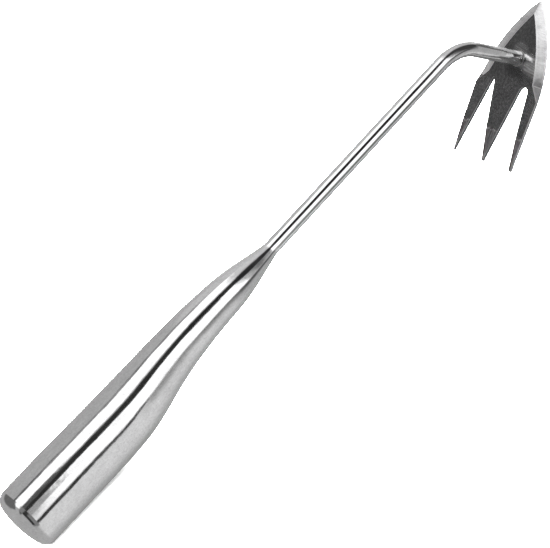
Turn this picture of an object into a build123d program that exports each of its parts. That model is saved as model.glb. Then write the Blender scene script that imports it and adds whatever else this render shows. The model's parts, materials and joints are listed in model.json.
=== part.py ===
from build123d import *
import math
import os

# Hand weeder: a hollow sheet handle, a bent solid neck bar and a flat forked
# blade plate with a ground arrow-shaped edge and three tines.
#
# Tool frame while modelling: the neck bar's straight part lies on the X axis,
# the handle mouth is at X = 0, the handle runs to -X and the head to +X, +Z is
# the upper side and +Y the left side. The finished pieces are then turned so
# that the butt and the tine tips stand on Z = 0, centred in X and Y.
#
# Plate frame: x is q, the distance along the plate from the bar axis towards
# the tine tips, y is the tool's Y, and z runs from the rear face (0) to the
# front face (PLATE_T). Cutting boxes are simply larger than what they cut.

# ------------------------------------------------------------------ neck bar
BAR_D = 8.0              # round bar diameter
NECK_TO_CORNER = 149.8   # handle mouth to the corner where the two centre lines meet
BEND_ANGLE = 52.0        # turn of the bar, downwards
BEND_R = 28.0            # centre-line radius of the bend
CORNER_TO_PLATE = 47.7   # corner to the plate's rear face, along the bar's end
TANG_LEN = 34.0          # length of bar inside the handle
TANG_CHAMFER = 0.8
BAR_OVERRUN = 3.0        # extra bar, trimmed off at the plate

# --------------------------------------------------------------- blade plate
PLATE_T = 2.1            # plate thickness
PLATE_LEAN = 6.0         # lean of the plate's normal past the bar's end direction
EDGE_R = 82.2            # radius of each curved cutting edge
EDGE_CQ = 23.1           # its centre, along the plate
EDGE_CY = -59.9          # its centre, across the plate, for the left edge
EDGE_MID_SHIFT = -2.0    # the arc's through point, from midway along the edge
BEVEL_R = 103.2          # radius of the bevel's inner border
BEVEL_CQ = 34.2          # its centre, along the plate
BEVEL_CY = -84.8         # its centre, across the plate, for the left bevel
EDGE_LAND = 0.25         # thickness left at the cutting edge
LAND_CLEARANCE = 0.001   # keeps the land's cutter off the plate's own edge
POINT_R = 2.0            # rounding of the blade's point
HEEL_Q = 11.0            # where the bevel ends and the heel facet starts
HEEL_END_Q = 19.0        # where the heel facet runs out
HEEL_OVERRUN = 0.1       # the facet runs out this far outside the plate
TINE_TIP_Q = 57.2        # tine tips
# Straight tine edges: distance from the plate's centre line at the two values
# of q in TINE_STATIONS, for the left (1) and right (-1) side. The gaps are not
# alike: the left one is a sharp V, the right one a wider U.
TINE_STATIONS = (20.0, 50.0)
MID_Y = {1: (8.70, 1.49), -1: (7.88, 2.57)}        # edge of the middle tine
IN_Y = {1: (12.97, 18.85), -1: (15.01, 18.99)}     # inner edge of the outer tine
OUT_Y = {1: (22.45, 21.35), -1: (22.06, 21.78)}    # outer edge of the outer tine
ROOT_Q = 13.1            # top of the rounded roots between the tines
GAP_OVERRUN = 4.0        # the gap cutters run this far past the tips
TINE_END_R = 0.35        # rounding of the tine ends
TIP_GRIND_Q = 39.5       # where the ground tine points start
TIP_T = 1.3              # thickness at the tine tips

# -------------------------------------------------------------------- handle
# station X, half height, half width, drop of the section's centre,
# exponent of the rounded-square section (2 is an ellipse)
HANDLE = [
    (0.0, 4.80, 4.80, 0.00, 2.00),
    (-4.0, 5.62, 5.62, -0.12, 2.00),
    (-9.0, 6.70, 6.68, -0.32, 2.02),
    (-14.0, 7.72, 7.62, -0.48, 2.05),
    (-20.0, 8.72, 8.50, -0.68, 2.10),
    (-27.0, 9.55, 9.25, -1.02, 2.14),
    (-36.0, 10.12, 9.85, -1.45, 2.18),
    (-48.0, 10.92, 10.55, -1.58, 2.20),
    (-62.0, 11.90, 11.35, -1.12, 2.24),
    (-76.0, 13.25, 12.40, 0.20, 2.28),
    (-88.0, 14.66, 13.50, 1.90, 2.32),
    (-100.0, 15.80, 14.45, 3.12, 2.36),
    (-114.0, 16.30, 14.75, 3.42, 2.38),
    (-132.0, 16.46, 14.88, 2.98, 2.40),
    (-150.0, 16.58, 14.98, 2.55, 2.40),
    (-165.0, 16.58, 14.98, 2.32, 2.40),
    (-180.0, 16.50, 14.90, 2.20, 2.40),
]
SECTION_POINTS = 32      # spline points round each section
WALL = 0.9               # sheet thickness of the handle
MOUTH_WALL = 0.77        # sheet thickness at the mouth
MOUTH_TAPER_L = 9.0      # length over which the sheet reaches its full thickness
HANDLE_END = -176.6      # rear of the dome
DOME_R = 50.0            # radius of the domed butt
DOME_Z = -HANDLE[-1][3]  # the dome is centred on the last section
BUTT_EDGE_R = 6.5        # rounding of the butt's rim
RIM_REACH = 12.0         # the rim's edges lie within this distance of the butt...
RIM_MIN_LEN = 30.0       # ...and are longer than this
CAP_SPLIT = -167.6       # joint between the handle halves and the butt cap
BEHIND_BUTT = -200.0     # a plane clear behind the handle
HALF_CLEAR = 40.0        # side planes clear of the handle

# --------------------------------------------------------------------- welds
SEAM_W = 0.8             # width of the ground seam beads
MOUTH_WELD_L = 3.6       # length of the blended weld at the mouth
MOUTH_WELD_MID = 0.45    # fraction of that length where the middle point lies
MOUTH_WELD_MID_H = 0.30  # height above the bar at the middle point
MOUTH_WELD_END_H = 0.03  # height above the bar at the front end
MOUTH_WELD_SLOPES = (-0.30, -0.04)   # of the profile at its rear and front end
HEAD_WELD_LEG = 1.1      # leg of the fillet weld at the plate
HEAD_WELD_SINK = 0.8     # the weld's cone starts this far past the joint point
HEAD_WELD_RISE = 0.3     # extra height of the cone along the bar
HEAD_WELD_LIP = 0.02     # thickness at the cone's thin end

REST_TILT = 9.569        # nose-up turn that stands the butt and tine tips on one plane

SIDES = (1, -1)          # left, right
UP_FROM_BASE = (Align.CENTER, Align.CENTER, Align.MIN)

# --------------------------------------------------------- directions, planes
bar_r = BAR_D / 2.0
bend = math.radians(BEND_ANGLE)
corner = Vector(NECK_TO_CORNER, 0, 0)
end_dir = Vector(math.cos(bend), 0, -math.sin(bend))
joint_pt = corner + end_dir * CORNER_TO_PLATE

# front normal of the plate, and the direction from the bar to the tines
lean = math.radians(BEND_ANGLE + PLATE_LEAN)
plate_normal = Vector(math.cos(lean), 0, -math.sin(lean))
plate_down = Vector(-math.sin(lean), 0, -math.cos(lean))
plate_plane = Plane(origin=joint_pt, x_dir=plate_down, z_dir=plate_normal)

# everything in front of the plate's rear face
beyond_plate = plate_plane * Box(60, 60, 30, align=UP_FROM_BASE)


# ------------------------------------------------------------------ neck bar
def make_neck_rod():
    """Bent round bar, cut to lie flat on the plate's rear face."""
    tangent_len = BEND_R * math.tan(bend / 2.0)
    bend_start = Vector(NECK_TO_CORNER - tangent_len, 0, 0)
    bend_mid = bend_start + Vector(BEND_R * math.sin(bend / 2.0), 0,
                                   -BEND_R * (1.0 - math.cos(bend / 2.0)))
    bend_end = corner + end_dir * tangent_len
    path = Wire([
        Edge.make_line(Vector(-TANG_LEN, 0, 0), bend_start),
        Edge.make_three_point_arc(bend_start, bend_mid, bend_end),
        Edge.make_line(bend_end, joint_pt + end_dir * BAR_OVERRUN),
    ])
    start_plane = Plane(origin=(-TANG_LEN, 0, 0), x_dir=(0, 1, 0), z_dir=(1, 0, 0))
    rod = sweep(start_plane * Circle(bar_r), path=path) - beyond_plate
    tang_end = rod.edges().sort_by(Axis.X)[0]
    return chamfer(tang_end, TANG_CHAMFER)


# --------------------------------------------------------------- blade plate
def edge_y(q):
    """Distance of the curved cutting edge from the centre line."""
    return EDGE_CY + math.sqrt(EDGE_R ** 2 - (q - EDGE_CQ) ** 2)


def bevel_y(q):
    """Distance of the bevel's inner border from the centre line."""
    return BEVEL_CY + math.sqrt(BEVEL_R ** 2 - (q - BEVEL_CQ) ** 2)


def tine_slope(table, side):
    """Change of distance from the centre line per unit of q."""
    return (table[side][1] - table[side][0]) / (TINE_STATIONS[1] - TINE_STATIONS[0])


def tine_y(table, side, q):
    """Distance from the centre line at q, along one straight tine edge."""
    start, end = table[side]
    first, last = TINE_STATIONS
    return start + (end - start) * (q - first) / (last - first)


apex_q = EDGE_CQ - math.sqrt(EDGE_R ** 2 - EDGE_CY ** 2)
heel_y = edge_y(HEEL_END_Q)
bevel_h = PLATE_T - EDGE_LAND


def edge_arc(side):
    """Curved cutting edge from the blade's point to the heel."""
    mid_q = (apex_q + HEEL_END_Q) / 2.0 + EDGE_MID_SHIFT
    return Edge.make_three_point_arc(
        Vector(apex_q, 0, 0), Vector(mid_q, side * edge_y(mid_q), 0),
        Vector(HEEL_END_Q, side * heel_y, 0))


def cut_gap(blank, side):
    """Cut the gap between two tines: straight sides that touch a root circle."""
    mid_slope = tine_slope(MID_Y, side)
    in_slope = tine_slope(IN_Y, side)
    mid_len = math.sqrt(1.0 + mid_slope ** 2)
    in_len = math.sqrt(1.0 + in_slope ** 2)
    root_r = ((tine_y(IN_Y, side, ROOT_Q) - tine_y(MID_Y, side, ROOT_Q))
              / (mid_len + in_len - (in_slope - mid_slope)))
    root_q = ROOT_Q + root_r
    root_y = tine_y(MID_Y, side, root_q) + root_r * mid_len
    # points where the sides touch the circle
    mid_touch = (root_q + root_r * mid_slope / mid_len, side * (root_y - root_r / mid_len))
    in_touch = (root_q - root_r * in_slope / in_len, side * (root_y + root_r / in_len))
    over = TINE_TIP_Q + GAP_OVERRUN
    gap = Polyline(mid_touch, (over, side * tine_y(MID_Y, side, over)),
                   (over, side * tine_y(IN_Y, side, over)), in_touch, close=True)
    blank = blank - make_face(gap)
    return blank - Circle(root_r).moved(Location((root_q, side * root_y, 0)))


def make_blank():
    """Flat outline of the plate with its three tines."""
    left_heel = Vector(HEEL_END_Q, heel_y, 0)
    right_heel = Vector(HEEL_END_Q, -heel_y, 0)
    left_tip = Vector(TINE_TIP_Q, tine_y(OUT_Y, 1, TINE_TIP_Q), 0)
    right_tip = Vector(TINE_TIP_Q, -tine_y(OUT_Y, -1, TINE_TIP_Q), 0)
    outline = Wire([
        edge_arc(1),
        Edge.make_line(left_heel, left_tip),
        Edge.make_line(left_tip, right_tip),
        Edge.make_line(right_tip, right_heel),
        edge_arc(-1),
    ])
    blank = Sketch() + Face(outline)
    for side in SIDES:
        blank = cut_gap(blank, side)
    tip_corners = [v for v in blank.vertices() if v.X > TINE_TIP_Q - 0.01]
    blank = fillet(tip_corners, TINE_END_R)
    point_corner = [v for v in blank.vertices() if v.X < apex_q + 0.5]
    return fillet(point_corner, POINT_R)


def make_blade(plate):
    """Blade half: ruled bevels from the rear face out to the cutting edge."""
    blade = plate & Box(100, 100, 20).moved(Location((HEEL_Q - 50, 0, 0)))
    for side in SIDES:
        border_plane = Plane(origin=(BEVEL_CQ, side * BEVEL_CY, 0))
        edge_plane = Plane(origin=(EDGE_CQ, side * EDGE_CY, bevel_h))
        border = Face(Wire(Edge.make_circle(BEVEL_R, border_plane)))
        edge = Face(Wire(Edge.make_circle(EDGE_R, edge_plane)))
        skirt = Solid.make_loft([border.outer_wire(), edge.outer_wire()], ruled=True)
        land = Cylinder(EDGE_R + LAND_CLEARANCE, EDGE_LAND + 1.0, align=UP_FROM_BASE).moved(
            Location((EDGE_CQ, side * EDGE_CY, bevel_h)))
        blade = blade & (Part() + skirt + land)
    return blade


def make_tines(plate):
    """Tine half: heel facets run the bevels out, and the tine points are ground thin."""
    tines = plate & Box(100, 100, 20).moved(Location((HEEL_Q + 50, 0, 0)))
    for side in SIDES:
        border_pt = Vector(HEEL_Q, side * bevel_y(HEEL_Q), 0)
        runout_pt = Vector(HEEL_END_Q, side * (heel_y + HEEL_OVERRUN), 0)
        edge_pt = Vector(HEEL_Q, side * edge_y(HEEL_Q), bevel_h)
        along = runout_pt - border_pt
        outward = along.cross(edge_pt - border_pt).normalized()
        if outward.Y * side < 0:
            outward = outward * -1.0
        facet_plane = Plane(origin=border_pt, x_dir=along.normalized(), z_dir=outward)
        off = facet_plane * Box(60, 60, 12, align=UP_FROM_BASE)
        # keep the cut to this side and clear of the blade half
        off = off & Box(60, 60, 60).moved(Location((HEEL_Q + 30, side * 30, 0)))
        tines = tines - off
    # the rear face slopes towards the front face at the tips
    grind_plane = Plane(
        origin=(TIP_GRIND_Q, 0, 0), x_dir=(0, 1, 0),
        z_dir=(PLATE_T - TIP_T, 0, -(TINE_TIP_Q - TIP_GRIND_Q)))
    return tines - (grind_plane * Box(80, 80, 10, align=UP_FROM_BASE))


def make_head_plate():
    plate = extrude(make_blank(), PLATE_T, dir=(0, 0, 1))
    return plate_plane * (make_blade(plate) + make_tines(plate))


# -------------------------------------------------------------------- handle
def section_wire(x, half_h, half_w, drop, expo):
    """Closed smooth rounded-square section in the plane X = x."""
    points = []
    for i in range(SECTION_POINTS):
        angle = 2.0 * math.pi * i / SECTION_POINTS
        cos_a, sin_a = math.cos(angle), math.sin(angle)
        y = half_w * math.copysign(abs(cos_a) ** (2.0 / expo), cos_a)
        z = half_h * math.copysign(abs(sin_a) ** (2.0 / expo), sin_a) - drop
        points.append(Vector(x, y, z))
    return Wire([Edge.make_spline(points, periodic=True)])


def handle_body(mouth_wall, wall):
    """Handle form with a domed, rounded butt, inset by the given wall thicknesses."""
    faces = []
    for x, half_h, half_w, drop, expo in HANDLE:
        inset = mouth_wall + (wall - mouth_wall) * min(1.0, -x / MOUTH_TAPER_L)
        faces.append(Face(section_wire(x, half_h - inset, half_w - inset, drop, expo)))
    body = Solid.make_loft([face.outer_wire() for face in faces], False)
    rear = Box(40, 60, 60).moved(Location((HANDLE_END - 5, 0, DOME_Z)))
    rear = rear - Sphere(DOME_R - wall).moved(Location((HANDLE_END + DOME_R, 0, DOME_Z)))
    body = Part() + body - rear
    rim = [e for e in body.edges()
           if e.center().X < HANDLE_END + RIM_REACH and e.length > RIM_MIN_LEN]
    return fillet(rim, BUTT_EDGE_R - wall)


def slab(x0, x1, y0, y1):
    """Tall box between two X planes and two Y planes."""
    return Box(x1 - x0, y1 - y0, 120).moved(
        Location(((x0 + x1) / 2.0, (y0 + y1) / 2.0, 0)))


def make_handle_pieces():
    """Sheet skin, open only at the mouth, split into halves, cap and seam beads."""
    skin = handle_body(0.0, 0.0) - handle_body(MOUTH_WALL, WALL)
    half_seam = SEAM_W / 2.0
    shell_rear = CAP_SPLIT + half_seam
    cap_front = CAP_SPLIT - half_seam
    return {
        "handle_shell_left": skin & slab(shell_rear, 0.0, half_seam, HALF_CLEAR),
        "handle_shell_right": skin & slab(shell_rear, 0.0, -HALF_CLEAR, -half_seam),
        "seam_weld": skin & slab(shell_rear, 0.0, -half_seam, half_seam),
        "butt_weld": skin & slab(cap_front, shell_rear, -HALF_CLEAR, HALF_CLEAR),
        "butt_cap": skin & slab(BEHIND_BUTT, cap_front, -HALF_CLEAR, HALF_CLEAR),
    }


# --------------------------------------------------------------------- welds
def make_head_weld():
    """Fillet weld between the bar's end and the plate's rear face."""
    weld_plane = Plane(origin=joint_pt, x_dir=(0, 1, 0), z_dir=end_dir * -1.0)
    weld = Cone(bar_r + HEAD_WELD_LEG + HEAD_WELD_SINK, bar_r + HEAD_WELD_LIP,
                HEAD_WELD_LEG + HEAD_WELD_SINK + HEAD_WELD_RISE,
                align=UP_FROM_BASE).moved(Location((0, 0, -HEAD_WELD_SINK)))
    weld = weld - Cylinder(bar_r, 20)
    return (weld_plane * weld) - beyond_plate


def make_mouth_weld():
    """Blended weld ring from the mouth's rim down to the bar."""
    rim = Vector(0, 0, HANDLE[0][1])
    middle = Vector(MOUTH_WELD_L * MOUTH_WELD_MID, 0, bar_r + MOUTH_WELD_MID_H)
    front = Vector(MOUTH_WELD_L, 0, bar_r + MOUTH_WELD_END_H)
    bar_rear = Vector(0, 0, bar_r)
    bar_front = Vector(MOUTH_WELD_L, 0, bar_r)
    profile = Wire([
        Edge.make_line(bar_rear, rim),
        Edge.make_spline([rim, middle, front],
                         tangents=[Vector(1, 0, slope) for slope in MOUTH_WELD_SLOPES]),
        Edge.make_line(front, bar_front),
        Edge.make_line(bar_front, bar_rear),
    ])
    return revolve(Face(profile), axis=Axis.X)


# ------------------------------------------------- stand on the ground plane
pieces = {
    "head_plate": make_head_plate(),
    "neck_rod": make_neck_rod(),
    "head_weld": make_head_weld(),
    "mouth_weld": make_mouth_weld(),
    **make_handle_pieces(),
}

turn = Location((0, 0, 0), (0, -REST_TILT, 0))
turned = {name: shape.moved(turn) for name, shape in pieces.items()}
boxes = [shape.bounding_box(optimal=True) for shape in turned.values()]
x_mid = (min(b.min.X for b in boxes) + max(b.max.X for b in boxes)) / 2.0
y_mid = (min(b.min.Y for b in boxes) + max(b.max.Y for b in boxes)) / 2.0
z_low = min(b.min.Z for b in boxes)
shift = Location((-x_mid, -y_mid, -z_low))

os.makedirs("parts", exist_ok=True)
for name, shape in turned.items():
    solids = shape.moved(shift).solids()
    piece = solids[0] if len(solids) == 1 else Compound(children=list(solids))
    export_step(piece, os.path.join("parts", name + ".step"))
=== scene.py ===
"""A hand tool with a forked blade: a hollow polished handle, a bent neck bar and a forked plate.

Pieces are modelled in the tool frame, in millimetres: X runs along the straight neck from the
handle's mouth (x = 0) towards the head, Y to the tool's left and Z up. The handle and its butt
lie at negative X. The finished points are moved into the row frame, in metres.
"""
import json
import math

import bmesh
import bpy
import numpy as np
from mathutils import Matrix, Vector


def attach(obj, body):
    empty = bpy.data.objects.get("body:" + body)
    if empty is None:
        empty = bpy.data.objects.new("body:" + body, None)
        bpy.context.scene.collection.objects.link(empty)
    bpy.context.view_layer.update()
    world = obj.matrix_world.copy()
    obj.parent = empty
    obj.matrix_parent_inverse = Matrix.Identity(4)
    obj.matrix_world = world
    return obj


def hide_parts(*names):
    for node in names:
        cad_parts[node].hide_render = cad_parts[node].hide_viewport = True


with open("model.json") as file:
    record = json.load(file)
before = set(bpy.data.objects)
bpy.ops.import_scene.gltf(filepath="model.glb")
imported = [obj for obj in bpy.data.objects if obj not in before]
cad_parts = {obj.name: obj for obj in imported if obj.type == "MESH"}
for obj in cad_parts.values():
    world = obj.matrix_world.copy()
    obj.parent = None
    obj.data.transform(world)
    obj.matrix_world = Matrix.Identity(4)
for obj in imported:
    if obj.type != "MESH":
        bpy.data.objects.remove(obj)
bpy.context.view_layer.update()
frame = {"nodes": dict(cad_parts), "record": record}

scene = bpy.context.scene

# --------------------------------------------------------------- tool frame
MOUNT_TO_MOUTH = 0.060      # m, from the neck mount back to the handle's mouth

mounts = {mount["name"]: mount for mount in frame["record"]["mounts"]}
neck_axis = np.array(mounts["neck_bar"]["axis"], float)
neck_axis /= np.linalg.norm(neck_axis)
TOOL_ORIGIN = np.array(mounts["neck_bar"]["pos_m"], float) - MOUNT_TO_MOUTH * neck_axis
tilt = math.atan2(neck_axis[2], neck_axis[0])
TOOL_AXES = np.array([      # columns: tool axes in the row frame
    [math.cos(tilt), 0, -math.sin(tilt)],
    [0, 1, 0],
    [math.sin(tilt), 0, math.cos(tilt)]])


def points_to_row(points_mm):
    """Tool-frame millimetres to row-frame metres."""
    return np.asarray(points_mm, float) @ TOOL_AXES.T * 0.001 + TOOL_ORIGIN


def directions_to_row(directions):
    return np.asarray(directions, float) @ TOOL_AXES.T


# ---------------------------------------------------------- dimensions (mm)
X, Y, Z = np.eye(3)

# Neck bar: a tang inside the handle, a straight run, a bend down, a straight run to the plate
BAR_R = 4.0
TANG = 34.0
TANG_CHAMFER = 0.8
MOUTH_TO_CORNER = 149.8     # to where the two straight centre lines meet
CORNER_TO_PLATE = 47.7
BEND_ANGLE = math.radians(52.0)
BEND_R = 28.0
BEND_TANGENT = BEND_R * math.tan(BEND_ANGLE / 2)
END_DIR = np.array([math.cos(BEND_ANGLE), 0, -math.sin(BEND_ANGLE)])
END_UP = np.array([math.sin(BEND_ANGLE), 0, math.cos(BEND_ANGLE)])
CORNER = MOUTH_TO_CORNER * X
JOINT = CORNER + CORNER_TO_PLATE * END_DIR      # bar axis on the plate's rear face

# Forked plate
LEAN = math.radians(58.0)
PLATE_FRONT = np.array([math.cos(LEAN), 0, -math.sin(LEAN)])    # front face's normal
PLATE_DOWN = np.array([-math.sin(LEAN), 0, -math.cos(LEAN)])    # towards the tines

# Handle stations, from the mouth back:
# x, half height, half width, drop of the centre below the axis, superellipse exponent
HANDLE = np.array([
    (0.0, 4.80, 4.80, 0.00, 2.00), (-4.0, 5.62, 5.62, -0.12, 2.00),
    (-9.0, 6.70, 6.68, -0.32, 2.02), (-14.0, 7.72, 7.62, -0.48, 2.05),
    (-20.0, 8.72, 8.50, -0.68, 2.10), (-27.0, 9.55, 9.25, -1.02, 2.14),
    (-36.0, 10.12, 9.85, -1.45, 2.18), (-48.0, 10.92, 10.55, -1.58, 2.20),
    (-62.0, 11.90, 11.35, -1.12, 2.24), (-76.0, 13.25, 12.40, 0.20, 2.28),
    (-88.0, 14.66, 13.50, 1.90, 2.32), (-100.0, 15.80, 14.45, 3.12, 2.36),
    (-114.0, 16.30, 14.75, 3.42, 2.38), (-132.0, 16.46, 14.88, 2.98, 2.40),
    (-150.0, 16.58, 14.98, 2.55, 2.40), (-165.0, 16.58, 14.98, 2.32, 2.40),
    (-180.0, 16.50, 14.90, 2.20, 2.40)])
WALL = 0.9
MOUTH_WALL = 0.77
MOUTH_TAPER = 9.0           # length over which the wall reaches its full thickness
SEAM = 0.8                  # width of the weld seams

# Butt: the side rounds over a rim into a shallow dome
HANDLE_END = -176.6
DOME_R = 50.0
RIM_R = 6.5
RIM_SWEEP = math.radians(77.0)
RIM_SECTION_X = -169.0      # the handle section from which the rim is laid out
CAP_SPLIT = -167.6          # middle of the seam between the halves and the dome
SHELL_REAR = CAP_SPLIT + SEAM / 2
DOME_FRONT = CAP_SPLIT - SEAM / 2

HALF_COLUMNS = 97           # points round one handle half
BEAD_COLUMNS = 5            # points across a seam


def cubic_spline(xs, ys):
    """Natural cubic spline through the points, xs ascending; ys may have columns."""
    count = len(xs)
    gaps = np.diff(xs)
    system = np.zeros((count, count))
    rhs = np.zeros((count,) + ys.shape[1:])
    system[0, 0] = system[-1, -1] = 1.0
    for i in range(1, count - 1):
        system[i, i - 1:i + 2] = gaps[i - 1], 2 * (gaps[i - 1] + gaps[i]), gaps[i]
        rhs[i] = 6 * ((ys[i + 1] - ys[i]) / gaps[i] - (ys[i] - ys[i - 1]) / gaps[i - 1])
    curv = np.linalg.solve(system, rhs)

    def value_at(x):
        x = np.asarray(x, float)
        i = np.clip(np.searchsorted(xs, x) - 1, 0, count - 2)
        gap = gaps[i][..., None]
        to_next = (xs[i + 1] - x)[..., None]
        from_last = (x - xs[i])[..., None]
        cubic = (curv[i] * to_next ** 3 + curv[i + 1] * from_last ** 3) / (6 * gap)
        return (cubic + (ys[i] / gap - curv[i] * gap / 6) * to_next
                + (ys[i + 1] / gap - curv[i + 1] * gap / 6) * from_last)
    return value_at


handle_at = cubic_spline(HANDLE[::-1, 0], HANDLE[::-1, 1:])


# -------------------------------------------------------------- mesh builder
def unit(vectors):
    return vectors / np.maximum(np.linalg.norm(vectors, axis=-1, keepdims=True), 1e-12)


class Patch:
    """Collects points and faces with a normal at every corner into one closed mesh."""

    FLAT = (0.0, 0.0, 0.0)      # stands for the face's own normal

    def __init__(self):
        self.points, self.faces, self.normals = [], [], []
        self.count = 0

    def add(self, points):
        points = np.reshape(points, (-1, 3))
        indices = self.count + np.arange(len(points))
        self.points.append(points)
        self.count += len(points)
        return indices

    def face(self, corners, flip):
        """One face from its (index, normal) corners."""
        if flip:
            corners = corners[::-1]
        self.faces.append([int(index) for index, _ in corners])
        self.normals.extend(normal for _, normal in corners)

    def grid(self, points, normals, flip=False, wrap=False):
        rows, cols = points.shape[:2]
        indices = self.add(points).reshape(rows, cols)
        for i in range(rows - 1):
            for j in range(cols if wrap else cols - 1):
                k = (j + 1) % cols
                places = [(i, j), (i + 1, j), (i + 1, k), (i, k)]
                self.face([(indices[place], normals[place]) for place in places], flip)
        return indices

    def strip(self, first, second, flip=False, wrap=False):
        """Flat-shaded strip between two index rows."""
        count = len(first)
        for j in range(count if wrap else count - 1):
            k = (j + 1) % count
            indices = (first[j], first[k], second[k], second[j])
            self.face([(index, self.FLAT) for index in indices], flip)

    def fan(self, row, centre, normal, flip=False):
        """Triangles from a closed index row to its centre."""
        middle = self.add(centre)[0]
        for j in range(len(row)):
            k = (j + 1) % len(row)
            self.face([(row[j], normal), (row[k], normal), (middle, normal)], flip)

    def finish(self, name, replaced):
        mesh = bpy.data.meshes.new(name)
        points = points_to_row(np.vstack(self.points))
        mesh.from_pydata([tuple(point) for point in points], [], self.faces)
        bm = bmesh.new()
        bm.from_mesh(mesh)
        bmesh.ops.recalc_face_normals(bm, faces=bm.faces)
        bm.to_mesh(mesh)
        bm.free()
        mesh.update()
        ob = bpy.data.objects.new(name, mesh)
        scene.collection.objects.link(ob)
        mesh.polygons.foreach_set("use_smooth", [True] * len(mesh.polygons))
        self.set_normals(mesh)
        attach(ob, "root")
        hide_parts(replaced)
        return ob

    def set_normals(self, mesh):
        """Give each corner its normal, on the side its face points to."""
        given = directions_to_row(np.array([tuple(normal) for normal in self.normals]))
        loops = np.zeros((len(mesh.loops), 3))
        done = 0
        for face, poly in zip(self.faces, mesh.polygons):
            facing = np.array(poly.normal)
            normals = given[done:done + len(face)]
            done += len(face)
            if not normals.any():
                loops[poly.loop_start:poly.loop_start + len(face)] = facing
                continue
            sign = 1.0 if normals.sum(0) @ facing >= 0 else -1.0
            corner_of = {vertex: i for i, vertex in enumerate(face)}
            for i, vertex in enumerate(poly.vertices):
                loops[poly.loop_start + i] = sign * normals[corner_of[vertex]]
        mesh.normals_split_custom_set([tuple(normal) for normal in unit(loops)])


# ------------------------------------------------------------ handle surface
# phi is the direction round a section, from +Y towards +Z.
# u runs along the handle: 0..1 is the body, 1..2 the rounded rim of the butt, 2..3 the dome.

def section(x, phi, inner):
    """Radius of the outer or inner skin, with the section's drop, half sizes and exponent."""
    half_height, half_width, drop, power = np.moveaxis(handle_at(x), -1, 0)
    wall = inner * (MOUTH_WALL + (WALL - MOUTH_WALL) * np.clip(-x / MOUTH_TAPER, 0, 1))
    half_height = half_height - wall
    half_width = half_width - wall
    radius = (np.abs(np.cos(phi) / half_width) ** power
              + np.abs(np.sin(phi) / half_height) ** power) ** (-1.0 / power)
    return radius, drop, half_height, half_width, power


def butt_sizes(inner):
    """Rim radius, dome radius, end station and how far the rim draws the outline in."""
    inset = WALL if inner else 0.0
    rim_r = RIM_R - inset
    return rim_r, DOME_R - inset, HANDLE_END + inset, rim_r * (1 - math.cos(RIM_SWEEP))


def dome_x(y, z, inner):
    _, dome_r, end, _ = butt_sizes(inner)
    return end + dome_r - np.sqrt(dome_r ** 2 - (y ** 2 + z ** 2))


def rim_start(phi, inner):
    """Station where the side starts to round over, and the outline's normal there."""
    rim_r, _, _, draw_in = butt_sizes(inner)
    station = np.full(phi.shape, RIM_SECTION_X)
    radius, _, half_height, half_width, power = section(station, phi, inner)
    y = radius * np.cos(phi)
    z = radius * np.sin(phi)
    slope_y = np.sign(y) * np.abs(y / half_width) ** (power - 1) / half_width
    slope_z = np.sign(z) * np.abs(z / half_height) ** (power - 1) / half_height
    steepness = np.sqrt(slope_y ** 2 + slope_z ** 2)
    ny = slope_y / steepness
    nz = slope_z / steepness
    x = dome_x(y - draw_in * ny, z - draw_in * nz, inner) + rim_r * math.sin(RIM_SWEEP)
    return x, ny, nz


def skin(u, phi, inner):
    """Points of the handle's outer or inner skin."""
    u, phi = np.broadcast_arrays(np.asarray(u, float), np.asarray(phi, float))
    rim_r, _, _, draw_in = butt_sizes(inner)
    rim_x, ny, nz = rim_start(phi, inner)

    body_x = np.clip(u, 0, 1) * rim_x
    radius, drop, *_ = section(body_x, phi, inner)
    body = np.stack([body_x, radius * np.cos(phi), radius * np.sin(phi) - drop], -1)

    radius, drop, *_ = section(rim_x, phi, inner)
    y = radius * np.cos(phi)
    z = radius * np.sin(phi)
    turn = RIM_SWEEP * np.clip(u - 1, 0, 1)
    inset = rim_r * (1 - np.cos(turn))
    rim = np.stack([rim_x - rim_r * np.sin(turn), y - inset * ny, z - inset * nz - drop], -1)

    shrink = 1 - np.clip(u - 2, 0, 1)
    y = (y - draw_in * ny) * shrink
    z = (z - draw_in * nz) * shrink
    dome = np.stack([dome_x(y, z, inner), y, z - drop], -1)

    part = u[..., None]
    return np.where(part <= 1, body, np.where(part <= 2, rim, dome))


def skin_with_normals(u, phi, inner):
    """Skin points and normals that point out of the metal."""
    delta = 1e-4
    start = np.where(u <= 1, 0.0, np.where(u <= 2, 1.0, 2.0))   # stay within one part
    before = np.clip(u - delta, start, start + 1)
    after = np.clip(u + delta, start, start + 1 - 1e-3 * (start == 2))
    before = np.minimum(before, after - delta)
    along = skin(after, phi, inner) - skin(before, phi, inner)
    round_it = skin(u, phi + delta, inner) - skin(u, phi - delta, inner)
    normal = np.cross(along, round_it)
    normal /= np.maximum(np.linalg.norm(normal, axis=-1, keepdims=True), 1e-15)
    return skin(u, phi, inner), -normal if inner else normal


def body_u(x, phi, inner):
    """u of the body at station x; it depends a little on phi."""
    return x / rim_start(phi, inner)[0]


def seam_phi(x, top, inner):
    """Angle of the top or bottom seam's edge on the +Y side."""
    sign = 1.0 if top else -1.0
    phi = np.full(x.shape, sign * math.pi / 2)
    for _ in range(30):
        radius = section(x, phi, inner)[0]
        phi = sign * np.arccos(np.clip(SEAM / 2 / radius, -1, 1))
    return phi


def body_stations():
    """Body stations, closer together towards the mouth, where the handle curves most."""
    return np.concatenate([np.arange(0.0, -40.0, -0.7), np.arange(-40.0, -166.6, -0.9),
                           [SHELL_REAR]])


def phi_between(start, end, count):
    return start[:, None] + (end - start)[:, None] * np.linspace(0, 1, count)[None, :]


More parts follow.
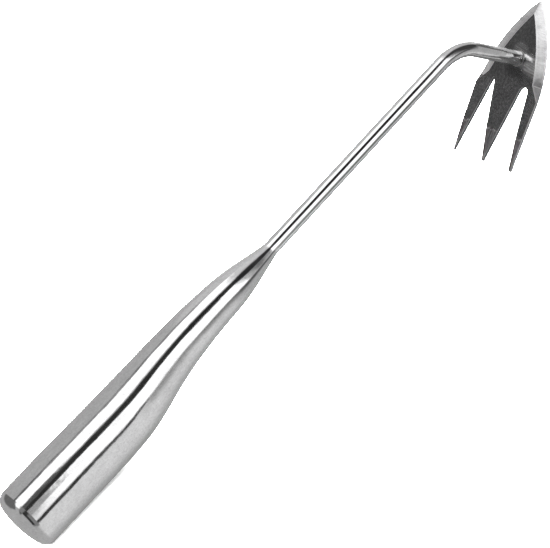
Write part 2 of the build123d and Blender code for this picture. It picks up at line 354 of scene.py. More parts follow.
def add_wall(patch, xs, phi_grid, flip=False, wrap=False):
    """Part of the handle's wall: both skins and the faces that join their edges.
    phi_grid gives the angles of the outer or the inner skin."""
    skins = []
    for inner in (False, True):
        phi = phi_grid(inner)
        x = np.repeat(xs[:, None], phi.shape[1], 1)
        points, normals = skin_with_normals(body_u(x, phi, inner), phi, inner)
        skins.append(patch.grid(points, normals, flip=flip != inner, wrap=wrap))
    outside, inside = skins
    patch.strip(outside[0], inside[0], flip=flip, wrap=wrap)
    patch.strip(outside[-1], inside[-1], flip=not flip, wrap=wrap)
    if not wrap:
        patch.strip(outside[:, 0], inside[:, 0], flip=not flip)
        patch.strip(outside[:, -1], inside[:, -1], flip=flip)


def shell_half(side):
    xs = body_stations()
    left = side == "left"

    def phi_grid(inner):
        bottom, top = (seam_phi(xs, is_top, inner) for is_top in (False, True))
        phi = phi_between(bottom, top, HALF_COLUMNS)
        return phi if left else math.pi - phi

    patch = Patch()
    add_wall(patch, xs, phi_grid, flip=not left)
    return patch.finish("handle_half_" + side, "handle_shell_" + side)


def seam_beads():
    """The two strips of weld between the halves."""
    xs = body_stations()
    patch = Patch()
    for top in (True, False):
        def phi_grid(inner):
            edge = seam_phi(xs, top, inner)
            return phi_between(edge, (math.pi if top else -math.pi) - edge, BEAD_COLUMNS)

        add_wall(patch, xs, phi_grid, flip=not top)
    return patch.finish("handle_seam_beads", "seam_weld")


def ring_phi(inner):
    """The columns of the halves and seams at the rear joint, once round."""
    x = np.array([SHELL_REAR])
    top = seam_phi(x, True, inner)[0]
    bottom = seam_phi(x, False, inner)[0]
    spans = [
        (bottom, top, HALF_COLUMNS),
        (top, math.pi - top, BEAD_COLUMNS),
        (math.pi - top, math.pi - bottom, HALF_COLUMNS),
        (math.pi - bottom, 2 * math.pi + bottom, BEAD_COLUMNS)]
    return np.concatenate([np.linspace(*span)[:-1] for span in spans])


def butt_ring():
    """Weld ring between the halves and the dome."""
    xs = np.linspace(SHELL_REAR, DOME_FRONT, 4)
    patch = Patch()
    add_wall(patch, xs, lambda inner: np.repeat(ring_phi(inner)[None, :], len(xs), 0), wrap=True)
    return patch.finish("butt_ring_bead", "butt_weld")


def butt_dome():
    patch = Patch()
    drop = handle_at(np.array([RIM_SECTION_X]))[0, 2]
    front_rows = []
    for inner in (False, True):
        ring = ring_phi(inner)
        front = body_u(np.full(ring.shape, DOME_FRONT), ring, inner)
        rows = [front + (1 - front) * t for t in (0.0, 0.5, 1.0 - 1e-6)]
        rows += [np.full(ring.shape, 1 + t) for t in np.linspace(0.04, 1.0, 22)]
        rows += [np.full(ring.shape, 2 + t) for t in np.linspace(0.05, 0.97, 26)]
        phi = np.repeat(ring[None, :], len(rows), 0)
        points, normals = skin_with_normals(np.array(rows), phi, inner)
        indices = patch.grid(points, normals, flip=inner, wrap=True)
        front_rows.append(indices[0])
        end = butt_sizes(inner)[2]
        patch.fan(indices[-1], (end, 0, -drop), X if inner else -X, flip=not inner)
    patch.strip(*front_rows, wrap=True)
    return patch.finish("butt_dome", "butt_cap")


# -------------------------------------------------------- neck and its welds
def circle_angles(count):
    return np.linspace(0, 2 * math.pi, count, endpoint=False)


def circle(angles, side, up):
    """Unit directions round a circle, from side towards up."""
    return np.cos(angles)[:, None] * side + np.sin(angles)[:, None] * up


def onto_plate(points):
    """Slide points along the bar's end onto the plate's rear face."""
    distance = ((JOINT - points) @ PLATE_FRONT) / (END_DIR @ PLATE_FRONT)
    return points + distance[:, None] * END_DIR


def bar_path():
    """Centre points and directions along the bar, from the tang to the plate."""
    points, directions = [], []
    straight_end = MOUTH_TO_CORNER - BEND_TANGENT
    for x in np.concatenate([np.linspace(-TANG, 0, 12), np.linspace(4, straight_end, 50)]):
        points.append(x * X)
        directions.append(X)
    bend_centre = np.array([straight_end, 0, -BEND_R])
    for angle in np.linspace(0, BEND_ANGLE, 60)[1:]:
        points.append(bend_centre + BEND_R * np.array([math.sin(angle), 0, math.cos(angle)]))
        directions.append([math.cos(angle), 0, -math.sin(angle)])
    # stops short of the plate, where a slanted last ring follows
    for distance in np.linspace(BEND_TANGENT, CORNER_TO_PLATE - 1.5, 24)[1:]:
        points.append(CORNER + distance * END_DIR)
        directions.append(END_DIR)
    return np.array(points, float), np.array(directions, float)


def neck_bar():
    path, directions = bar_path()
    angles = circle_angles(96)
    rings = np.array([circle(angles, Y, np.array([-along[2], 0, along[0]]))
                      for along in directions])
    rows = path[:, None, :] + BAR_R * rings
    rows = np.concatenate([rows, onto_plate(rows[-1])[None]], 0)
    normals = np.concatenate([rings, rings[-1:]], 0)
    rows[0] += TANG_CHAMFER * X
    patch = Patch()
    indices = patch.grid(rows, normals, wrap=True)
    tang_edge = patch.add(path[0] + (BAR_R - TANG_CHAMFER) * rings[0])
    patch.strip(indices[0], tang_edge, wrap=True)
    patch.fan(tang_edge, path[0], -X, flip=True)
    patch.fan(indices[-1], JOINT, PLATE_FRONT)
    return patch.finish("neck_bar", "neck_rod")


def mouth_blend():
    """Blend of weld metal from the mouth's rim down to the bar."""
    length = 5.0
    start_r = HANDLE[0, 1]
    end_r = BAR_R + 0.015
    start_slope = -0.205
    inner_r = BAR_R + 0.001
    # Hermite curve, level where it meets the bar
    t = np.linspace(0, 1, 24)
    radius = ((2 * t**3 - 3 * t**2 + 1) * start_r
              + (t**3 - 2 * t**2 + t) * start_slope * length
              + (-2 * t**3 + 3 * t**2) * end_r)
    slope = np.gradient(radius, t * length)
    slant = np.sqrt(1 + slope ** 2)
    radial = circle(circle_angles(120), np.cross(X, Z), Z)

    def spin(along, outward):
        return np.array([a * X + out * radial for a, out in zip(along, outward)])

    patch = Patch()
    outside = patch.grid(spin(t * length, radius), spin(-slope / slant, 1 / slant),
                         flip=True, wrap=True)
    inside = patch.grid(spin((0.0, length), (inner_r, inner_r)), spin((0, 0), (-1, -1)),
                        wrap=True)
    patch.strip(outside[0], inside[0], flip=True, wrap=True)
    patch.strip(outside[-1], inside[-1], wrap=True)
    return patch.finish("mouth_blend", "mouth_weld")


def head_bead():
    """Small rippled fillet of weld where the bar meets the plate."""
    plate_leg = 0.55
    bar_leg = plate_leg * 1.15
    plate_gap = 0.01            # keeps the fillet's edge off the bar
    bar_gap = 0.004
    angles = circle_angles(144)
    radial = circle(angles, np.cross(END_DIR, END_UP), END_UP)
    ripple = (1 + 0.10 * np.sin(9 * angles + 0.6) + 0.07 * np.sin(17 * angles + 2.1)
              + 0.04 * np.sin(31 * angles))
    foot = onto_plate(JOINT + BAR_R * radial)
    in_plate = radial - (radial @ PLATE_FRONT)[:, None] * PLATE_FRONT
    in_plate /= np.linalg.norm(in_plate, axis=1, keepdims=True)
    rows = []
    for turn in np.linspace(0, 1, 10) * math.pi / 2:
        out = plate_leg * ripple * (1 - math.sin(turn)) + plate_gap
        back = bar_leg * ripple * (1 - math.cos(turn))
        rows.append(foot + out[:, None] * in_plate - back[:, None] * END_DIR)
    rows = np.array(rows)
    round_it = np.roll(rows, -1, 1) - np.roll(rows, 1, 1)
    normals = unit(np.cross(round_it, np.gradient(rows, axis=0)))
    if (normals[4] * (radial - END_DIR)).sum() < 0:
        normals = -normals
    patch = Patch()
    indices = patch.grid(rows, normals, wrap=True)
    root = patch.add(foot + bar_gap * radial)
    patch.strip(indices[-1], root, wrap=True)
    patch.strip(root, indices[0], wrap=True)
    return patch.finish("head_bead", "head_weld")


# -------------------------------------------------------------- blade plate
def forked_head():
    """The forked plate: the CAD plate's own form with softened edges."""
    mesh = frame["nodes"]["head_plate"].data.copy()
    mesh.name = "forked_head"
    mesh.materials.clear()
    bm = bmesh.new()
    bm.from_mesh(mesh)
    bmesh.ops.remove_doubles(bm, verts=bm.verts, dist=2e-6)
    bmesh.ops.dissolve_limit(bm, angle_limit=math.radians(0.6), verts=bm.verts, edges=bm.edges)
    bm.to_mesh(mesh)
    bm.free()
    ob = bpy.data.objects.new("forked_head", mesh)
    scene.collection.objects.link(ob)
    front = Vector(directions_to_row(PLATE_FRONT))
    # the front and rear faces stay flat
    smooth = [abs(face.normal.dot(front)) < 0.9995 for face in mesh.polygons]
    mesh.polygons.foreach_set("use_smooth", smooth)
    bevel = ob.modifiers.new("edges", "BEVEL")
    bevel.width = 0.00012
    bevel.segments = 2
    bevel.limit_method = "ANGLE"
    bevel.angle_limit = math.radians(14)
    bevel.harden_normals = True
    bevel.use_clamp_overlap = True
    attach(ob, "root")
    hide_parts("head_plate")
    return ob


# ------------------------------------------------------------ shader graphs
class Field:
    """A value in a shader graph. Arithmetic on it adds Math nodes."""

    def __init__(self, graph, socket):
        self.graph = graph
        self.socket = socket

    def __add__(self, other):
        return self.graph.math("ADD", self, other)

    def __radd__(self, other):
        return self.graph.math("ADD", other, self)

    def __sub__(self, other):
        return self.graph.math("SUBTRACT", self, other)

    def __rsub__(self, other):
        return self.graph.math("SUBTRACT", other, self)

    def __mul__(self, other):
        return self.graph.math("MULTIPLY", self, other)

    def __abs__(self):
        return self.graph.math("ABSOLUTE", self)

    def maximum(self, other):
        return self.graph.math("MAXIMUM", self, other)

    def remap(self, start, end, low, high, smooth=True):
        """Clamped change from low to high as the value goes from start to end."""
        kind = "SMOOTHSTEP" if smooth else "LINEAR"
        node = self.graph.node("ShaderNodeMapRange", interpolation_type=kind, clamp=True)
        inputs = {"Value": self, "From Min": start, "From Max": end, "To Min": low, "To Max": high}
        return self.graph.fill(node, inputs, "Result")

    def fade(self, zero, one, smooth=True):
        """Mask that is 0 up to the value zero and 1 from the value one, in either direction."""
        return self.remap(zero, one, 0.0, 1.0, smooth)

    def blend(self, off, on):
        """off where this mask is 0, on where it is 1."""
        node = self.graph.node("ShaderNodeMix", data_type="FLOAT")
        return self.graph.fill(node, {0: self, 2: off, 3: on}, 0)


class Graph:
    """Adds nodes to a node tree, cleared first."""

    def __init__(self, owner):
        owner.use_nodes = True
        self.tree = owner.node_tree
        self.tree.nodes.clear()
        self.x = 0

    def node(self, kind, **settings):
        node = self.tree.nodes.new(kind)
        self.x += 40
        node.location = (self.x, -(self.x % 400))
        for name, value in settings.items():
            setattr(node, name, value)
        return node

    def put(self, socket, value):
        """Link a Field to an input, or set the input's own value."""
        if isinstance(value, Field):
            self.tree.links.new(value.socket, socket)
        else:
            socket.default_value = value

    def fill(self, node, inputs, output):
        """Set the node's inputs and return one of its outputs as a Field."""
        for key, value in inputs.items():
            self.put(node.inputs[key], value)
        return Field(self, node.outputs[output])

    def math(self, operation, *operands):
        node = self.node("ShaderNodeMath", operation=operation)
        return self.fill(node, dict(enumerate(operands)), 0)

    def coordinates(self, output):
        return self.fill(self.node("ShaderNodeTexCoord"), {}, output)

    def dot(self, vector, constant):
        node = self.node("ShaderNodeVectorMath", operation="DOT_PRODUCT")
        return self.fill(node, {0: vector, 1: tuple(constant)}, "Value")

    def vector(self, x, y, z):
        return self.fill(self.node("ShaderNodeCombineXYZ"), {0: x, 1: y, 2: z}, 0)

    def noise(self, vector, scale, detail, roughness, distortion=0.0):
        inputs = {"Vector": vector, "Scale": scale, "Detail": detail,
                  "Roughness": roughness, "Distortion": distortion}
        return self.fill(self.node("ShaderNodeTexNoise"), inputs, "Fac")

    def grey(self, tone, tint):
        node = self.node("ShaderNodeCombineColor")
        return self.fill(node, {i: tone * tint[i] for i in range(3)}, 0)

    def bump(self, height, distance, strength=1.0):
        inputs = {"Height": height, "Distance": distance, "Strength": strength}
        return self.fill(self.node("ShaderNodeBump"), inputs, 0)


def new_material(name):
    material = bpy.data.materials.new(name)
    graph = Graph(material)
    output = graph.node("ShaderNodeOutputMaterial")
    bsdf = graph.node("ShaderNodeBsdfPrincipled")
    graph.tree.links.new(bsdf.outputs[0], output.inputs[0])
    return material, graph, bsdf


def set_metal(graph, bsdf, tone, tint, roughness, normal, metallic=1.0):
    graph.put(bsdf.inputs["Roughness"], roughness)
    graph.put(bsdf.inputs["Base Color"], graph.grey(tone, tint))
    graph.put(bsdf.inputs["Metallic"], metallic)
    graph.put(bsdf.inputs["Normal"], normal)


def tool_coordinates(graph):
    """Tool-frame x, y and z in millimetres, from the object's own coordinates."""
    place = graph.coordinates("Object")
    return [graph.dot(place, axis * 1000.0) - float(TOOL_ORIGIN @ axis) * 1000.0
            for axis in TOOL_AXES.T]


ANGLE_START = -140.0        # degrees; angles round the tool run one turn from here


def round_tool(graph, direction):
    """Angle of a direction round the tool's axis, in degrees, and its reach.
    The angle is 0 level on the tool's right, 90 straight up and 180 level on its left. The
    reach is the direction's component towards the head (1) or the butt (-1)."""
    reach, left, up = (graph.dot(direction, axis) for axis in TOOL_AXES.T)
    angle = graph.math("ARCTAN2", up, left * -1.0) * (180.0 / math.pi)
    wrap = graph.math("LESS_THAN", angle, ANGLE_START)
    return angle + wrap * 360.0, reach


# ---------------------------------------------------------------- materials
COOL_TINT = (1.0, 1.0, 1.005)
WARM_TINT = (1.0, 0.995, 0.985)


def painted_bar_reflection_shade(graph, x):
    """Painted dark reflection: how much the slim bar's colour is darkened where it reflects the
    joints between light panels.
    """
    angle, reach = round_tool(graph, graph.coordinates("Reflection"))
    run = x.fade(zero=3.0, one=9.0) * x.fade(zero=133.0, one=120.0)
    run = run * (reach.fade(zero=0.10, one=0.20) * reach.fade(zero=0.55, one=0.42))
    upper = angle.fade(zero=37.0, one=42.0) * angle.fade(zero=76.0, one=70.0)
    lower = angle.fade(zero=-42.0, one=-32.0) * angle.fade(zero=-12.0, one=-18.0)
    upper_depth = 0.92
    lower_depth = 0.52
    return (upper * upper_depth).maximum(lower * lower_depth) * run


def polished_steel(name, bar=False):
    """Buffed stainless steel; the bar adds painted dark reflections and a satin end."""
    material, graph, bsdf = new_material(name)
    x, y, z = tool_coordinates(graph)
    place = graph.vector(x, y, z)
    # soft waviness, stretched along the tool
    wave = graph.noise(graph.vector(x * 0.45, y, z), scale=0.10, detail=3.0, roughness=0.5)
    # faint buffing lines that run along the tool
    lines = graph.noise(graph.vector(x * 0.03, y, z), scale=5.5, detail=3.0, roughness=0.6)
    # large soft patches of slightly duller metal
    smear = graph.noise(place, scale=0.06, detail=4.0, roughness=0.6, distortion=0.6)
    smear = smear.fade(zero=0.42, one=0.72)
    # mottle of the skin, from half a millimetre to a few
    fine = graph.noise(place, scale=0.9, detail=4.0, roughness=0.75)
    mottle = graph.noise(graph.vector(x * 0.6, y, z), scale=0.28, detail=3.0, roughness=0.6)
    roughness = 0.05 + smear * 0.05 + fine * 0.04 + lines * 0.02
    tone = 0.89 - smear * 0.04
    tone = tone * fine.remap(start=0.33, end=0.67, low=0.91, high=1.05, smooth=False)
    tone = tone * mottle.remap(start=0.30, end=0.70, low=0.94, high=1.03, smooth=False)
    if bar:
        # painted dark reflections: the bar's colour darkens where it faces the gaps between light
        # panels
        tone = tone * (1.0 - painted_bar_reflection_shade(graph, x))
        # the last millimetres before the plate are satin from dressing the weld
        past_joint = graph.dot(place, END_DIR) - float(JOINT @ END_DIR)
        roughness = roughness + past_joint.fade(zero=-7.0, one=-3.5) * (0.02 + fine * 0.12)
    waviness = graph.bump(wave, distance=0.00017)
    relief = graph.bump(lines, distance=0.0000012)
    graph.put(relief.socket.node.inputs["Normal"], waviness)
    set_metal(graph, bsdf, tone, COOL_TINT, roughness, relief)
    return material


def weld_metal():
    material, graph, bsdf = new_material("weld_metal")
    place = graph.vector(*tool_coordinates(graph))
    grain = graph.noise(place, scale=1.4, detail=4.0, roughness=0.6)
    lumps = graph.noise(place, scale=0.9, detail=3.0, roughness=0.6)
    relief = graph.bump(lumps, distance=0.0001, strength=0.6)
    set_metal(graph, bsdf, 0.20 + grain * 0.34, WARM_TINT, 0.22 + grain * 0.2, relief)
    return material


class PlateFields:
    """Places, directions and grain on the head plate, shared by the parts of its material."""

    def __init__(self, graph):
        self.graph = graph
        offset = [axis - float(start) for axis, start in zip(tool_coordinates(graph), JOINT)]
        self.left = offset[1]                           # mm left of the bar's axis
        place = graph.vector(*offset)
        self.down = graph.dot(place, PLATE_DOWN)        # mm from the joint towards the tines
        self.depth = graph.dot(place, PLATE_FRONT)      # mm in front of the rear face
        self.aside = abs(self.left)
        self.place = graph.vector(self.down, self.left, self.depth)
        geometry = graph.node("ShaderNodeNewGeometry")
        normal = Field(graph, geometry.outputs["True Normal"])
        # -1 on the rear face, 1 on the front
        self.facing = graph.dot(normal, directions_to_row(PLATE_FRONT))
        self.rear = self.facing.fade(zero=-0.5, one=-0.8)
        self.mottle = self.grain(self.place, 0.30, 0.70, scale=0.75, detail=4.0, roughness=0.62,
                                 distortion=0.3)
        self.streak = self.grain(self.stretched(down=0.12), 0.32, 0.68,
                                 scale=1.0, detail=4.0, roughness=0.6)

    def stretched(self, down=None, left=None):
        """Plate coordinates with one axis scaled; a small factor draws noise out along it."""
        if down is not None:
            return self.graph.vector(self.down * down, self.left, self.depth)
        return self.graph.vector(self.down, self.left * left, self.depth)

    def grain(self, vector, zero, one, **noise):
        """Noise spread evenly between 0 and 1."""
        return self.graph.noise(vector, **noise).fade(zero, one, smooth=False)


def layered(base, *layers):
    """Tone and roughness with each (mask, tone, roughness) laid over the base in turn."""
    tone, roughness = base
    for mask, layer_tone, layer_roughness in layers:
        tone = mask.blend(tone, layer_tone)
        roughness = mask.blend(roughness, layer_roughness)
    return tone, roughness


def plate_skin(plate):
    """Tone and roughness of the dark flat faces, with painted shade and painted highlights round
    the weld, and the light that the dressed band and the painted streak scatter.
    """
    graph, down, left, rear = plate.graph, plate.down, plate.left, plate.rear
    cloud = graph.noise(plate.place, scale=0.11, detail=3.0, roughness=0.5, distortion=0.4)
    cloud = cloud.fade(zero=0.35, one=0.65)
    speck = plate.grain(plate.place, 0.32, 0.68, scale=2.6, detail=4.0, roughness=0.7)
    tone = 0.155 + plate.mottle * 0.22 + speck * 0.14 + cloud * 0.07
    # a little lighter down the tines, most on the left one
    lift = 0.14 + plate.aside.fade(zero=5.0, one=9.0) * 0.07 + left.fade(zero=5.0, one=9.0) * 0.12
    tone = tone * (1.0 + down.fade(zero=9.0, one=17.0) * lift)
    # painted shade: a darker oval below the weld, centred a little to the right, where the bar's
    # end shades the face
    shade_oval_down = down - 5.5
    shade_oval_left = left + 2.0
    shade_oval = shade_oval_down * shade_oval_down + shade_oval_left * shade_oval_left * 0.32
    painted_shade_below_weld = shade_oval.fade(zero=32.0, one=5.0) * rear
    tone = tone * painted_shade_below_weld.blend(1.0, 0.62)
    # dressed, brighter band to the weld's right, slightly slanted, with scratches along it
    band = down + (-0.2 + left * 0.16)
    patch = abs(band).fade(zero=7.0, one=2.0) * left.fade(zero=-4.6, one=-7.5)
    scratch = graph.noise(graph.vector(band, left * 0.10, plate.depth),
                          scale=0.9, detail=3.0, roughness=0.6).fade(zero=0.38, one=0.66)
    patch = patch * rear
    # painted highlight: a bright round spot above the weld, for the bright stripe where the bar
    # meets the plate
    highlight_spot_down = down + 3.5
    highlight_spot = (highlight_spot_down * highlight_spot_down + left * left).fade(zero=40.0, one=10.0)
    painted_highlight_above = highlight_spot * (rear * 0.85)
    # a glossy ground streak beside the weld, made bright as a painted reflection of the bar's
    # highlight
    glint_streak_line = (down + 2.4) + (left + 5.0) * 0.23
    glint_streak_ends = left.fade(zero=-3.8, one=-4.6) * left.fade(zero=-11.5, one=-8.5)
    painted_glint_streak = abs(glint_streak_line).fade(zero=1.35, one=0.55) * glint_streak_ends * rear
    tone, roughness = layered(
        (tone, 0.16 + plate.mottle * 0.10),
        (patch, 0.25 + scratch * 0.26, 0.36 + scratch * 0.10),
        (painted_highlight_above, 0.60 + scratch * 0.40, 0.17 + scratch * 0.10),
        (painted_glint_streak, 0.72 + scratch * 0.08, 0.22))
    # scuffs round the weld
    scuff = graph.noise(plate.place, scale=0.55, detail=3.0, roughness=0.7, distortion=0.8)
    near_weld = (down * down + left * left).fade(zero=150.0, one=40.0)
    tone = tone + near_weld * scuff.fade(zero=0.60, one=0.68) * 0.16
    return (tone, roughness), patch * 0.012 + painted_glint_streak * 0.018


def tine_points(plate):
    """Mask, tone and roughness of the ground points, with an uneven bright upper border."""
    border = plate.graph.noise(plate.stretched(down=0.3), scale=0.55, detail=2.0, roughness=0.5)
    down = plate.down + border * 3.4
    mask = down.fade(zero=40.6, one=41.4) * plate.facing.fade(zero=0.2, one=-0.2)
    rim = mask * down.fade(zero=42.6, one=41.4)
    return mask, 0.26 + plate.streak * 0.40 + rim * 0.28, 0.28 + plate.streak * 0.2


def side_walls(plate):
    """Mask, tone and roughness of the sheared walls."""
    mask = abs(plate.facing).fade(zero=0.45, one=0.30)
    # painted shade: the inner walls, which face each other across the slots, are darker, with a
    # painted highlight line along the rear edge
    painted_edge_highlight = plate.depth.fade(zero=0.48, one=0.30)
    shaded_inner_tone = painted_edge_highlight.blend(0.13 + plate.streak * 0.08, 0.60)
    inner = plate.aside.fade(zero=20.6, one=20.2)
    tone = inner.blend(0.42 + plate.streak * 0.16, shaded_inner_tone)
    upper = plate.down.fade(zero=11.2, one=10.8)
    return mask, upper.blend(tone, 0.40), 0.36


def ground_bevels(plate):
    """Mask, tone and roughness of the rear bevels, with painted highlights, and their fine
    grinding lines.
    """
    down, depth = plate.down, plate.depth
    mask = plate.rear * plate.facing.fade(zero=-0.985, one=-0.965)
    fine = plate.grain(plate.stretched(left=0.10), 0.30, 0.70,
                       scale=2.4, detail=5.0, roughness=0.75)
    coarse = plate.grain(plate.stretched(left=0.12), 0.32, 0.68,
                         scale=0.85, detail=3.0, roughness=0.65)
    # painted highlights: bright lines along the bevel's rear and front edges
    edges = depth.fade(zero=0.34, one=0.20).maximum(depth.fade(zero=1.52, one=1.62))
    right = plate.left.fade(zero=0.6, one=-0.6)
    # painted highlight: the left bevel's tone is raised highest; on the right the tone falls
    # towards the heel
    right_bevel_tone = down.remap(start=-17.0, end=7.0, low=1.06, high=0.54, smooth=False)
    ground = 0.66 + fine * 0.22 + coarse * 0.20
    tone = right.blend(1.15, right_bevel_tone) * ground * edges.blend(0.97, 1.22)
    # matt heel, which starts higher on the right, under a thin painted highlight line; its edges
    # carry the painted edge highlights too
    heel_right = down.fade(zero=11.0, one=11.15) * right
    heel = heel_right.maximum(down.fade(zero=14.0, one=14.4))
    heel_highlight_line = down.fade(zero=10.55, one=10.7) * down.fade(zero=11.35, one=11.2)
    heel_tone = (0.32 + plate.mottle * 0.05) * edges.blend(1.0, 1.35)
    tone, roughness = layered((tone, 0.28 + fine * 0.12), (heel, heel_tone, 0.5))
    return (mask, (heel_highlight_line * right).blend(tone, 0.62), roughness), fine


def blade_steel():
    """Dark tempered plate with ground bevels, ground tine points and sheared side walls."""
    material, graph, bsdf = new_material("blade_steel")
    plate = PlateFields(graph)
    skin_layer, scatter = plate_skin(plate)
    bevels, grinding = ground_bevels(plate)
    tone, roughness = layered(skin_layer, tine_points(plate), side_walls(plate), bevels)
    # the dressed band and the painted bright streak scatter a little light in all directions
    metallic = 1.0 - scatter * plate.facing.fade(zero=-0.9, one=-0.985)
    height = bevels[0].blend(plate.mottle, grinding * 0.4)
    relief = graph.bump(height, distance=0.00001)
    set_metal(graph, bsdf, tone, COOL_TINT, roughness, relief, metallic)
    return material


# ------------------------------------------------------------------- pieces
steel = polished_steel("polished_stainless")
bright_bar = polished_steel("drawn_bright_bar", bar=True)
weld = weld_metal()
blade = blade_steel()

for build, material in (
        (lambda: shell_half("left"), steel), (lambda: shell_half("right"), steel),
        (seam_beads, steel), (butt_ring, steel), (butt_dome, steel),
        (neck_bar, bright_bar), (mouth_blend, steel), (head_bead, weld), (forked_head, blade)):
    build().data.materials.append(material)

cad_materials = {"head_plate": blade, "head_weld": weld, "neck_rod": bright_bar}
for name, node in frame["nodes"].items():
    node.data.materials.clear()
    node.data.materials.append(cad_materials.get(name, steel))


# -------------------------------------------------------------------- stage
def studio_floor():
    half = 6.0      # m
    mesh = bpy.data.meshes.new("studio_floor")
    corners = [(-half, -half, 0), (half, -half, 0), (half, half, 0), (-half, half, 0)]
    mesh.from_pydata(corners, [], [(0, 1, 2, 3)])
    ob = bpy.data.objects.new("studio_floor", mesh)
    scene.collection.objects.link(ob)
    material, _, bsdf = new_material("pale_floor")
    bsdf.inputs["Base Color"].default_value = (0.93, 0.93, 0.93, 1)
    bsdf.inputs["Roughness"].default_value = 0.9
    bsdf.inputs["Specular IOR Level"].default_value = 0.0
    mesh.materials.append(material)
    ob.visible_glossy = False


# Reflection panels of the studio tent, later ones over earlier ones. Angles and reaches are
# those of round_tool; tones are sRGB greys from 0 to 255. Columns: tone, angle from, to,
# softness of both, reach from, to, softness of both, turn between the two reaches (degrees)
TENT_TONE = 163
TONE_SCALE = 0.86           # a panel's strength is its linear tone divided by this
PANELS = [
    (147, -150, -88, 4, 34, -0.10, 0.22, 0.2, 0.06, 0),         # floor shade, far side
    (206, -62, 10, 44, 10, -0.22, 0.32, 0.4, 0.16, 0),          # floor light, near side
    (187, 100, 160, 10, 30, 0.24, 0.95, 0.10, 0.4, 0),          # back wall light
    (200, 168, 221, 20, 4, 0.30, 1.2, 0.3, 0.1, 0),             # back wall, far
    # right hand soft box and its grey end
    (264, -4.5, 46, 7, 4, 0.062, 0.56, 0.06, 0.10, 0),
    (170, -6, 46, 4, 4, 0.53, 0.62, 0.06, 0.06, 0),
    (124, -6, 46, 6, 6, 0.61, 0.76, 0.06, 0.10, 0),
    (146, 16, 47, 7, 4, -0.12, 0.105, 0.06, 0.035, 6),          # card before the box
    # top soft box
    (264, 75, 119, 4, 5, -0.28, 0.53, 0.10, 0.12, 0),
    (266, 78, 112, 4, 5, -0.44, -0.06, 0.20, 0.10, 0),          # its rear
    (196, 84, 121, 20, 8, 0.50, 0.80, 0.08, 0.20, 0),           # its end
    (74, 119.5, 126.5, 3, 3, -0.05, 0.13, 0.05, 0.06, 0),       # its far edge
    (124, 119.5, 127, 3, 3, 0.13, 0.32, 0.06, 0.12, 0),
    # gap between the boxes
    (42, 46.5, 70, 3.5, 5, -0.45, 1.2, 0.2, 0.1, 0),
    (76, 62, 80, 3, 5, -0.8, 0.128, 0.2, 0.025, 0),             # near end
    (32, 46, 69, 4, 4, 0.275, 0.42, 0.05, 0.06, 0),             # front
    (44, 41.5, 47.5, 3, 3, 0.285, 0.395, 0.05, 0.04, 0),        # front side
    (36, 40, 78, 8, 16, 0.52, 1.2, 0.10, 0.1, 0),               # far end
    # lower edge of the right hand box
    (44, -18.5, -7.6, 4, 4, -0.20, 0.125, 0.10, 0.02, 0),
    (56, -17.5, -8.0, 4, 4, 0.120, 0.200, 0.02, 0.02, 7.5),
    (72, -9.5, -1, 4, 4, 0.197, 0.250, 0.02, 0.06, 0),
    (120, -25, -6.5, 28, 6, 0.248, 0.44, 0.08, 0.1, 0),
    (74, -27, -9, 18, 14, 0.41, 0.72, 0.1, 0.1, 0),
    # dark front of the studio
    (58, -24, 84, 22, 40, 0.68, 1.2, 0.20, 0.1, 0),
    (92, -140, -24, 4, 22, 0.935, 1.2, 0.04, 0.1, 0),           # low
    # round the butt
    (118, -24, 84, 6, 14, -0.66, -0.02, 0.2, 0.08, 0),          # right
    (50, 34, 58, 14, 10, -0.62, -0.05, 0.2, 0.1, 0),            # gap
    (96, 112, 162, 10, 12, -0.70, 0.00, 0.2, 0.12, 0),          # left
    (96, 108, 150, 6, 12, -0.75, -0.33, 0.1, 0.08, 0),          # plate shade
    (44, -16, 60, 6, 8, -0.66, -0.44, 0.06, 0.06, 0),           # rim line, right
]


def panel_strength(tone):
    grey = tone / 255.0
    linear = grey / 12.92 if grey <= 0.04045 else ((grey + 0.055) / 1.055) ** 2.4
    return linear / TONE_SCALE


def rise(value, edge, softness):
    return value.fade(edge - softness / 2, edge + softness / 2)


def fall(value, edge, softness):
    return value.remap(edge - softness / 2, edge + softness / 2, low=1.0, high=0.0)


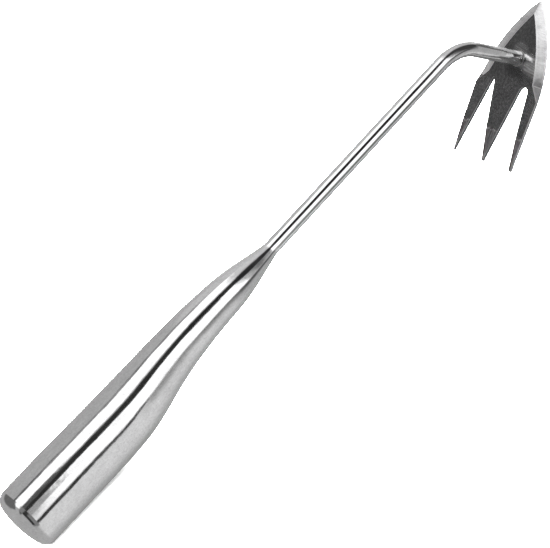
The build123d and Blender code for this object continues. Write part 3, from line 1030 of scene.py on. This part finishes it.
def studio_world():
    """Soft tent of light panels, dark gaps and a pale surround."""
    world = bpy.data.worlds.new("studio")
    scene.world = world
    graph = Graph(world)
    output = graph.node("ShaderNodeOutputWorld")
    angle, reach = round_tool(graph, graph.coordinates("Generated"))
    strength = panel_strength(TENT_TONE)
    for (tone, angle_from, angle_to, soft_from, soft_to,
         reach_from, reach_to, reach_soft_from, reach_soft_to, turn) in PANELS:
        turned = angle
        if turn:
            turned = angle - reach.remap(reach_from, reach_to, low=0.0, high=turn, smooth=False)
        mask = fall(turned, angle_to, soft_to)
        # an edge beyond the range of angles or reaches needs no mask
        if angle_from > ANGLE_START:
            mask = mask * rise(turned, angle_from, soft_from)
        if reach_from > -1:
            mask = mask * rise(reach, reach_from, reach_soft_from)
        if reach_to < 1:
            mask = mask * fall(reach, reach_to, reach_soft_to)
        strength = mask.blend(strength, panel_strength(tone))
    background = graph.node("ShaderNodeBackground")
    background.inputs["Color"].default_value = (1, 1, 1, 1)
    graph.put(background.inputs["Strength"], strength)
    graph.tree.links.new(background.outputs[0], output.inputs[0])


def overhead_softbox():
    """Wide overhead light, unseen in reflections."""
    light = bpy.data.lights.new("overhead_softbox", "AREA")
    light.shape = "DISK"
    light.size = 4.0
    light.energy = 1200.0
    ob = bpy.data.objects.new("overhead_softbox", light)
    scene.collection.objects.link(ob)
    ob.location = (0.0, 0.0, 1.8)
    ob.visible_glossy = False


def camera():
    """Camera above the tool's right side, behind the middle."""
    cam = bpy.data.cameras.new("camera")
    ob = bpy.data.objects.new("camera", cam)
    scene.collection.objects.link(ob)
    cam.sensor_fit = "HORIZONTAL"
    cam.sensor_width = 36.0
    cam.lens = 113.654
    cam.clip_start = 0.05
    cam.clip_end = 50.0
    right = Vector((0.71699, -0.62560, -0.30749))
    up = Vector((0.60291, 0.33512, 0.72401))
    backward = right.cross(up).normalized()
    up = backward.cross(right).normalized()
    right.normalize()
    pose = Matrix((right, up, backward)).transposed().to_4x4()
    pose.translation = Vector((-0.31670, -0.60549, 0.56385))
    ob.matrix_world = pose
    scene.camera = ob


studio_floor()
studio_world()
overhead_softbox()
camera()
scene.view_settings.view_transform = "Standard"
scene.view_settings.look = "None"
scene.view_settings.exposure = 0.0
scene.view_settings.gamma = 1.0
